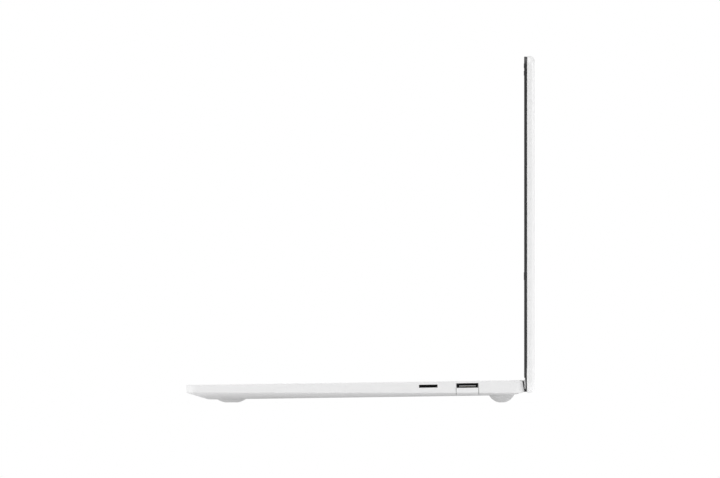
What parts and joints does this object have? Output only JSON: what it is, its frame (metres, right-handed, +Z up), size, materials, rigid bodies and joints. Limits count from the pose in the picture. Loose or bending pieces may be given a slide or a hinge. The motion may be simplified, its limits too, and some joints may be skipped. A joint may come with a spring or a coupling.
{
  "type": "laptop computer",
  "caption": "Thin white clamshell laptop with the lid upright: screen on a friction hinge, full keyboard, click pad, side ports and rubber feet.",
  "frame": {"origin": "centre of the bounding box on the table plane, with the lid upright", "axes": "+X towards the user's right along the hinge, +Y from the user towards the rear, +Z up"},
  "size_m": [0.3116, 0.219, 0.2178],
  "materials": {
    "case_paint": "satin white paint on aluminium",
    "bottom_paint": "satin white paint on aluminium",
    "lid_plastic": "glossy white moulding",
    "barrel_plastic": "satin black moulding",
    "foot_rubber": "light grey rubber",
    "bumper_rubber": "black rubber",
    "screw_steel": "plain steel",
    "grid_plastic": "satin white moulding",
    "membrane_film": "dark film",
    "backplate_metal": "stamped sheet",
    "key_plastic": "fine matt white moulding",
    "power_key_plastic": "fine matt silver-white moulding",
    "touchpad_glass": "etched white glass",
    "bracket_metal": "stamped sheet",
    "carrier_plastic": "black moulding",
    "cell_foil": "dark laminated foil",
    "board": "dark green laminate",
    "chip_epoxy": "black epoxy",
    "fin_aluminium": "thin plain fins",
    "copper": "plain copper",
    "fan_plastic": "black moulding",
    "socket_steel": "nickel plated",
    "tongue_plastic": "black moulding",
    "bezel_plastic": "matt black moulding",
    "screen_glass": "glossy black-edged cover glass",
    "panel": "unlit display"
  },
  "bodies": {
    "base": {"top_case": "case_paint", "bottom_cover": "bottom_paint", "bottom_screws": "screw_steel", "front_feet": "foot_rubber", "rear_feet": "foot_rubber", "keyboard_grid": "grid_plastic", "keyboard_membrane": "membrane_film", "keyboard_backplate": "backplate_metal", "touchpad_bracket": "bracket_metal", "battery_frame": "carrier_plastic", "battery_cells": "cell_foil", "mainboard": "board", "mainboard_chips": "chip_epoxy", "fan_housing": "carrier_plastic", "heat_sink": "fin_aluminium", "heat_pipe": "copper", "ssd_module": "board", "wifi_card": "board", "speakers": "carrier_plastic", "io_board": "board", "usb_a_shell": "socket_steel", "usb_a_tongue": "tongue_plastic", "jaw_pin": "screw_steel", "microsd_socket": "socket_steel", "usb_c_shells": "socket_steel", "usb_c_tongues": "tongue_plastic", "audio_jack": "tongue_plastic", "hinge_brackets": "screw_steel"},
    "lid": {"lid_shell": "lid_plastic", "bezel_frame": "bezel_plastic", "display_glass": "screen_glass", "display_panel": "panel", "camera_module": "board", "lid_bumpers": "bumper_rubber", "hinge_cover": "barrel_plastic", "hinge_trim": "lid_plastic", "hinge_arms": "screw_steel", "hinge_shafts": "screw_steel"},
    "fan_impeller": {"fan_impeller": "fan_plastic"},
    "usb_a_jaw": {"usb_a_jaw": "bottom_paint"},
    "touchpad": {"touchpad": "touchpad_glass"},
    "power_button": {"power_button": "power_key_plastic"},
    "space_bar": {"space_bar": "key_plastic"},
    "enter_key": {"enter_key": "key_plastic"},
    "backspace_key": {"backspace_key": "key_plastic"},
    "tab_key": {"tab_key": "key_plastic"},
    "caps_lock_key": {"caps_lock_key": "key_plastic"},
    "left_shift_key": {"left_shift_key": "key_plastic"},
    "right_shift_key": {"right_shift_key": "key_plastic"},
    "arrow_left_key": {"arrow_left_key": "key_plastic"},
    "arrow_down_key": {"arrow_down_key": "key_plastic"},
    "arrow_up_key": {"arrow_up_key": "key_plastic"},
    "arrow_right_key": {"arrow_right_key": "key_plastic"},
    "function_keys": {"function_keys": "key_plastic"},
    "number_keys": {"number_keys": "key_plastic"},
    "top_letter_keys": {"top_letter_keys": "key_plastic"},
    "home_letter_keys": {"home_letter_keys": "key_plastic"},
    "bottom_letter_keys": {"bottom_letter_keys": "key_plastic"},
    "modifier_keys": {"modifier_keys": "key_plastic"}
  },
  "joints": [
    {"name": "lid_hinge", "type": "hinge", "parent": "base", "child": "lid", "pos_m": [0, 0.09879, 0.01018], "axis": [-1, 0, 0], "range_deg": [-90.82, 44.2]},
    {"name": "fan_spin", "type": "hinge", "parent": "base", "child": "fan_impeller", "pos_m": [0.05, 0.04853, 0.00686], "axis": [0, -0.0143, 0.9999], "continuous": true},
    {"name": "usb_jaw_drop", "type": "hinge", "parent": "base", "child": "usb_a_jaw", "pos_m": [0.1462, 0.06736, 0.00513], "axis": [0, 0.9999, 0.0143], "range_deg": [0, 14], "stiffness_Nm_per_rad": 0.02, "springref_deg": -11.46},
    {"name": "touchpad_click", "type": "hinge", "parent": "base", "child": "touchpad", "pos_m": [0, -0.03343, 0.01094], "axis": [1, 0, 0], "range_deg": [0, 0.35], "stiffness_Nm_per_rad": 13, "springref_deg": -0.23},
    {"name": "power_press", "type": "slide", "parent": "base", "child": "power_button", "axis": [0, 0.0143, -0.9999], "range_m": [0, 0.0006], "stiffness_N_per_m": 900, "springref_m": -0.0003},
    {"name": "space_bar_press", "type": "slide", "parent": "base", "child": "space_bar", "axis": [0, 0.0143, -0.9999], "range_m": [0, 0.0013], "stiffness_N_per_m": 450, "springref_m": -0.0004},
    {"name": "enter_key_press", "type": "slide", "parent": "base", "child": "enter_key", "axis": [0, 0.0143, -0.9999], "range_m": [0, 0.0013], "stiffness_N_per_m": 450, "springref_m": -0.0004},
    {"name": "backspace_key_press", "type": "slide", "parent": "base", "child": "backspace_key", "axis": [0, 0.0143, -0.9999], "range_m": [0, 0.0013], "stiffness_N_per_m": 450, "springref_m": -0.0004},
    {"name": "tab_key_press", "type": "slide", "parent": "base", "child": "tab_key", "axis": [0, 0.0143, -0.9999], "range_m": [0, 0.0013], "stiffness_N_per_m": 450, "springref_m": -0.0004},
    {"name": "caps_lock_key_press", "type": "slide", "parent": "base", "child": "caps_lock_key", "axis": [0, 0.0143, -0.9999], "range_m": [0, 0.0013], "stiffness_N_per_m": 450, "springref_m": -0.0004},
    {"name": "left_shift_key_press", "type": "slide", "parent": "base", "child": "left_shift_key", "axis": [0, 0.0143, -0.9999], "range_m": [0, 0.0013], "stiffness_N_per_m": 450, "springref_m": -0.0004},
    {"name": "right_shift_key_press", "type": "slide", "parent": "base", "child": "right_shift_key", "axis": [0, 0.0143, -0.9999], "range_m": [0, 0.0013], "stiffness_N_per_m": 450, "springref_m": -0.0004},
    {"name": "arrow_left_key_press", "type": "slide", "parent": "base", "child": "arrow_left_key", "axis": [0, 0.0143, -0.9999], "range_m": [0, 0.0013], "stiffness_N_per_m": 450, "springref_m": -0.0004},
    {"name": "arrow_down_key_press", "type": "slide", "parent": "base", "child": "arrow_down_key", "axis": [0, 0.0143, -0.9999], "range_m": [0, 0.0013], "stiffness_N_per_m": 450, "springref_m": -0.0004},
    {"name": "arrow_up_key_press", "type": "slide", "parent": "base", "child": "arrow_up_key", "axis": [0, 0.0143, -0.9999], "range_m": [0, 0.0013], "stiffness_N_per_m": 450, "springref_m": -0.0004},
    {"name": "arrow_right_key_press", "type": "slide", "parent": "base", "child": "arrow_right_key", "axis": [0, 0.0143, -0.9999], "range_m": [0, 0.0013], "stiffness_N_per_m": 450, "springref_m": -0.0004},
    {"name": "function_keys_press", "type": "slide", "parent": "base", "child": "function_keys", "axis": [0, 0.0143, -0.9999], "range_m": [0, 0.0013], "stiffness_N_per_m": 6750, "springref_m": -0.0004},
    {"name": "number_keys_press", "type": "slide", "parent": "base", "child": "number_keys", "axis": [0, 0.0143, -0.9999], "range_m": [0, 0.0013], "stiffness_N_per_m": 5850, "springref_m": -0.0004},
    {"name": "top_letter_keys_press", "type": "slide", "parent": "base", "child": "top_letter_keys", "axis": [0, 0.0143, -0.9999], "range_m": [0, 0.0013], "stiffness_N_per_m": 5850, "springref_m": -0.0004},
    {"name": "home_letter_keys_press", "type": "slide", "parent": "base", "child": "home_letter_keys", "axis": [0, 0.0143, -0.9999], "range_m": [0, 0.0013], "stiffness_N_per_m": 4950, "springref_m": -0.0004},
    {"name": "bottom_letter_keys_press", "type": "slide", "parent": "base", "child": "bottom_letter_keys", "axis": [0, 0.0143, -0.9999], "range_m": [0, 0.0013], "stiffness_N_per_m": 4500, "springref_m": -0.0004},
    {"name": "modifier_keys_press", "type": "slide", "parent": "base", "child": "modifier_keys", "axis": [0, 0.0143, -0.9999], "range_m": [0, 0.0013], "stiffness_N_per_m": 2700, "springref_m": -0.0004}
  ]
}
